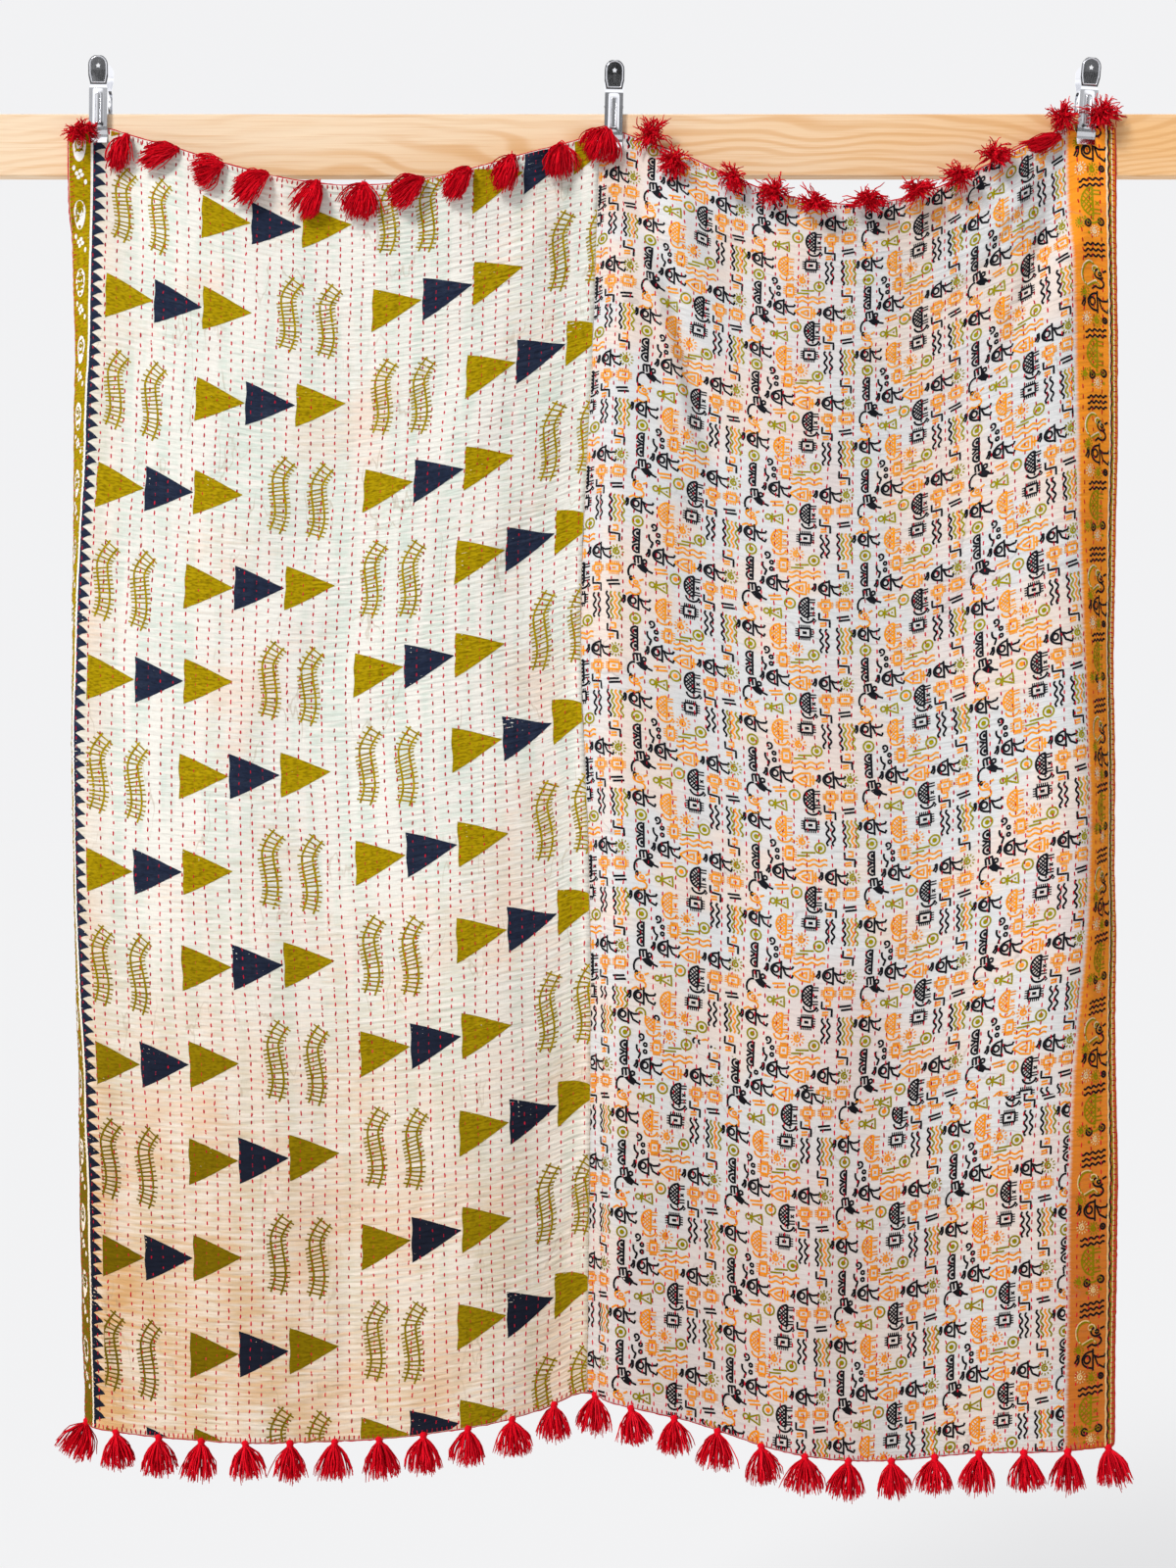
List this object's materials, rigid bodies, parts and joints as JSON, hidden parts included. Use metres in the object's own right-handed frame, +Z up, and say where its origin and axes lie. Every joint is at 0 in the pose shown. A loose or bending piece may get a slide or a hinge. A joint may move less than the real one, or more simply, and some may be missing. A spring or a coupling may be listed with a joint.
{
  "type": "kantha quilt hung from a rail by clips",
  "caption": "Two-panel hand-stitched kantha quilt with yarn tassels along its top edge and hem, hung by sprung steel clips from a plain flat wooden rail.",
  "frame": {"origin": "middle of the rail's back face, where whatever carries the rail meets it", "axes": "+Z up the quilt, +X along the rail to the viewer's right, +Y away from the viewer"},
  "size_m": [1.8, 0.1473, 2.0611],
  "materials": {
    "rail_wood": "satin varnish",
    "cream_cloth": "printed cotton",
    "grey_cloth": "printed cotton",
    "tassel_yarn": "cotton yarn",
    "clip_steel": "polished steel"
  },
  "bodies": {
    "root": {"rail": "rail_wood", "panel_left": "cream_cloth", "panel_right": "grey_cloth", "clip_left_front": "clip_steel", "clip_left_back": "clip_steel", "clip_middle_front": "clip_steel", "clip_middle_back": "clip_steel", "clip_right_front": "clip_steel", "clip_right_back": "clip_steel", "tassel_top_01": "tassel_yarn", "tassel_top_02": "tassel_yarn", "tassel_top_03": "tassel_yarn", "tassel_top_04": "tassel_yarn", "tassel_top_05": "tassel_yarn", "tassel_top_06": "tassel_yarn", "tassel_top_07": "tassel_yarn", "tassel_top_08": "tassel_yarn", "tassel_top_09": "tassel_yarn", "tassel_top_10": "tassel_yarn", "tassel_top_11": "tassel_yarn", "tassel_top_12": "tassel_yarn", "tassel_top_13": "tassel_yarn", "tassel_top_14": "tassel_yarn", "tassel_top_15": "tassel_yarn", "tassel_top_16": "tassel_yarn", "tassel_top_17": "tassel_yarn", "tassel_top_18": "tassel_yarn", "tassel_top_19": "tassel_yarn", "tassel_top_20": "tassel_yarn", "tassel_top_21": "tassel_yarn", "tassel_top_22": "tassel_yarn", "tassel_top_23": "tassel_yarn", "tassel_top_24": "tassel_yarn", "tassel_hem_01": "tassel_yarn", "tassel_hem_02": "tassel_yarn", "tassel_hem_03": "tassel_yarn", "tassel_hem_04": "tassel_yarn", "tassel_hem_05": "tassel_yarn", "tassel_hem_06": "tassel_yarn", "tassel_hem_07": "tassel_yarn", "tassel_hem_08": "tassel_yarn", "tassel_hem_09": "tassel_yarn", "tassel_hem_10": "tassel_yarn", "tassel_hem_11": "tassel_yarn", "tassel_hem_12": "tassel_yarn", "tassel_hem_13": "tassel_yarn", "tassel_hem_14": "tassel_yarn", "tassel_hem_15": "tassel_yarn", "tassel_hem_16": "tassel_yarn", "tassel_hem_17": "tassel_yarn", "tassel_hem_18": "tassel_yarn", "tassel_hem_19": "tassel_yarn", "tassel_hem_20": "tassel_yarn", "tassel_hem_21": "tassel_yarn", "tassel_hem_22": "tassel_yarn", "tassel_hem_23": "tassel_yarn", "tassel_hem_24": "tassel_yarn", "tassel_hem_25": "tassel_yarn"}
  },
  "joints": []
}
